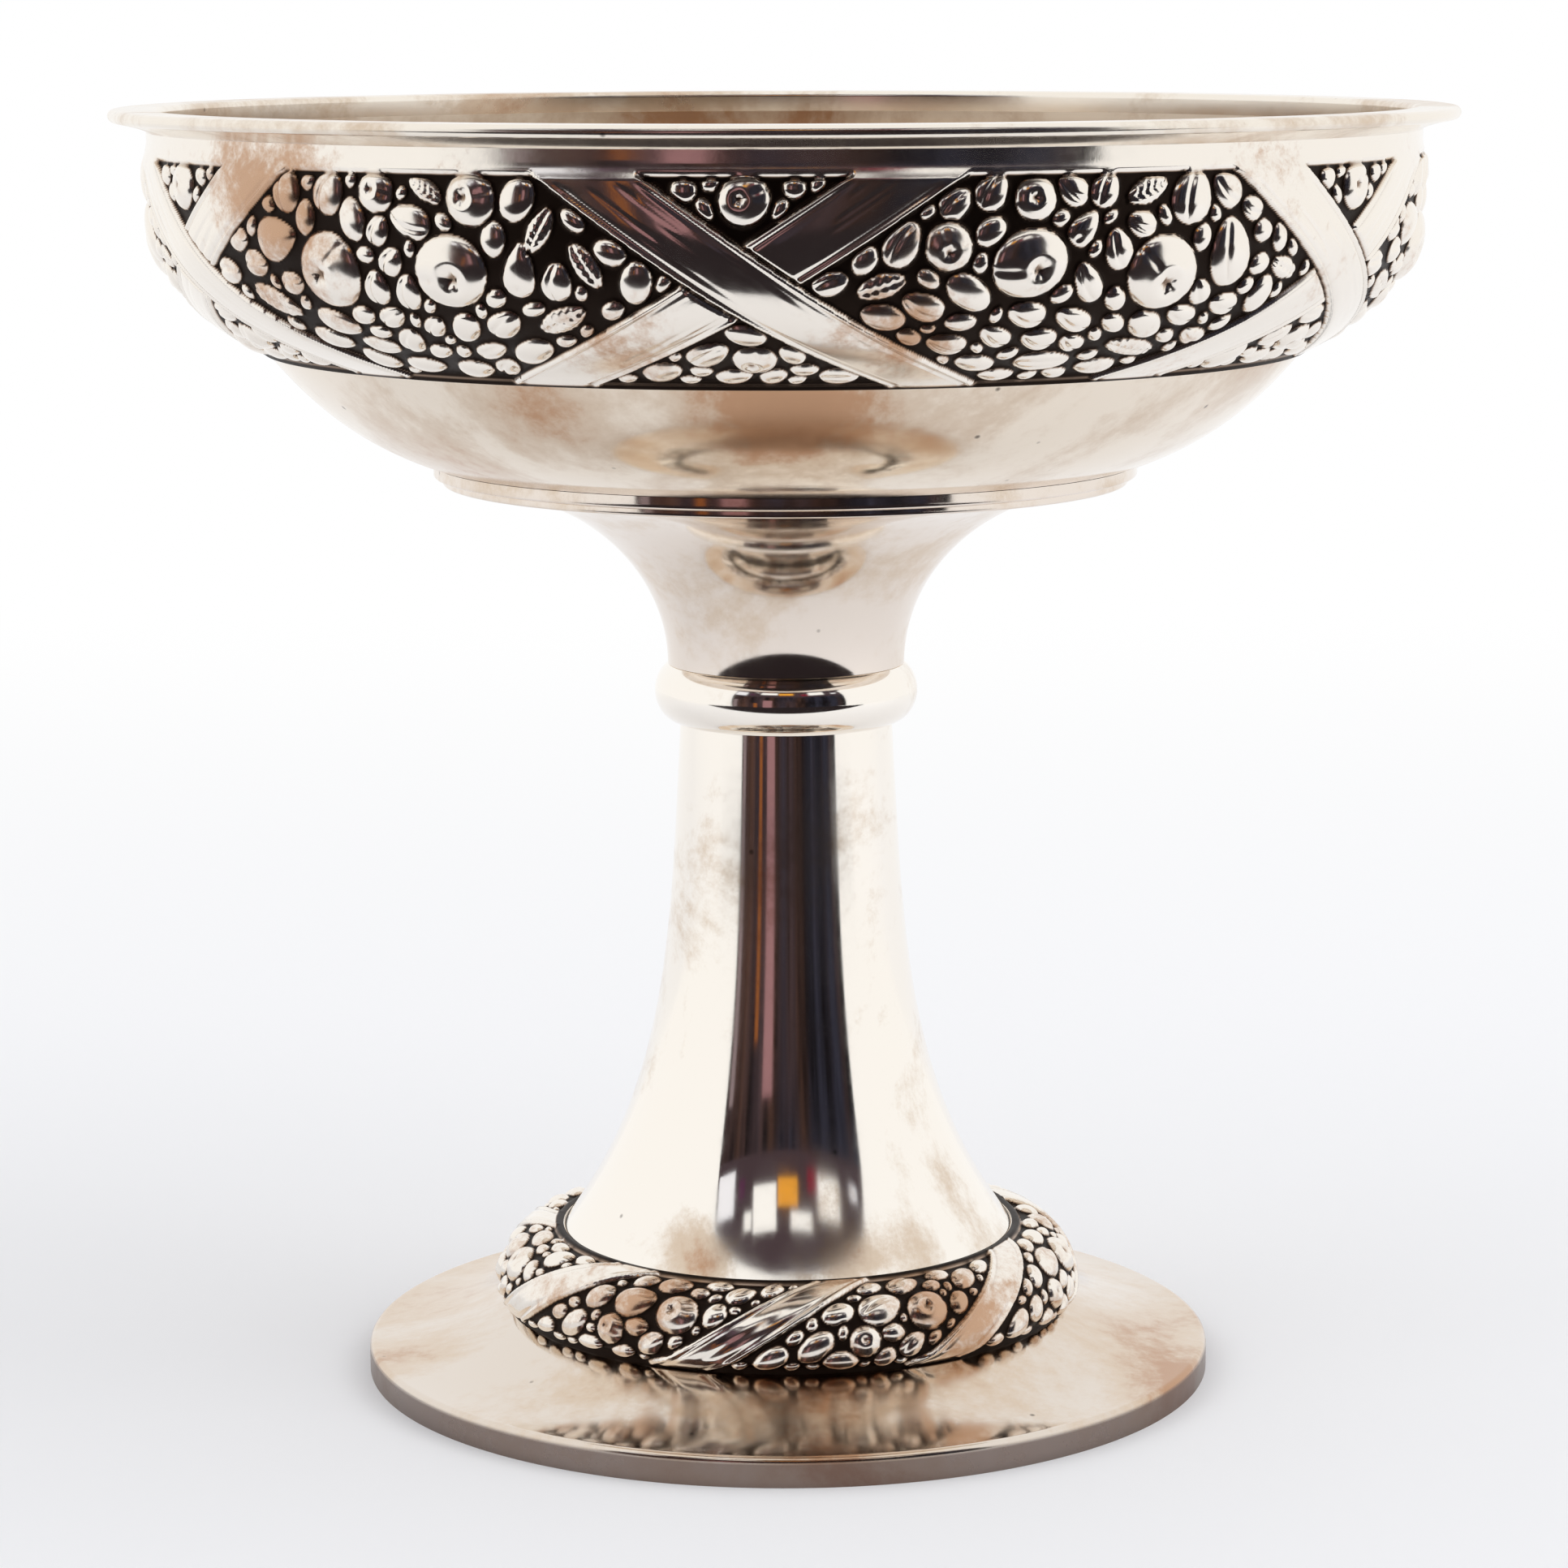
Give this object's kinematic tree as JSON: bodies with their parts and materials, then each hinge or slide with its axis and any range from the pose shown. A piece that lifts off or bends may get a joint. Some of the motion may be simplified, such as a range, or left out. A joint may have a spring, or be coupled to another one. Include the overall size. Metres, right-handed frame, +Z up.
{
  "type": "footed compote bowl",
  "caption": "Wide round bowl with a chased fruit-and-ribbon band and rolled rim, on a knopped trumpet stem over a dished round foot with a chased collar; silver-plated metal.",
  "frame": {"origin": "centre of the foot's resting ring, on the surface that it stands on", "axes": "+Z up along the axis that the pieces are turned about; -Y is the side in the picture, which a crossing of the band's ribbons marks"},
  "size_m": [0.25, 0.25, 0.2416],
  "materials": {
    "polished_silver": "polished, lightly tarnished",
    "chased_silver": "chased relief with blackened grooves",
    "bare_brass": "turned",
    "fastener_steel": "plain"
  },
  "bodies": {
    "root": {"foot_plate": "polished_silver", "base_wire": "polished_silver", "foot_collar": "chased_silver", "stem": "polished_silver", "knop": "polished_silver", "funnel": "polished_silver", "seat_ring": "polished_silver", "bowl": "chased_silver", "rim_moulding": "polished_silver", "bowl_boss": "bare_brass", "tie_rod": "fastener_steel", "foot_washer": "fastener_steel", "tie_nut": "fastener_steel"}
  },
  "joints": []
}
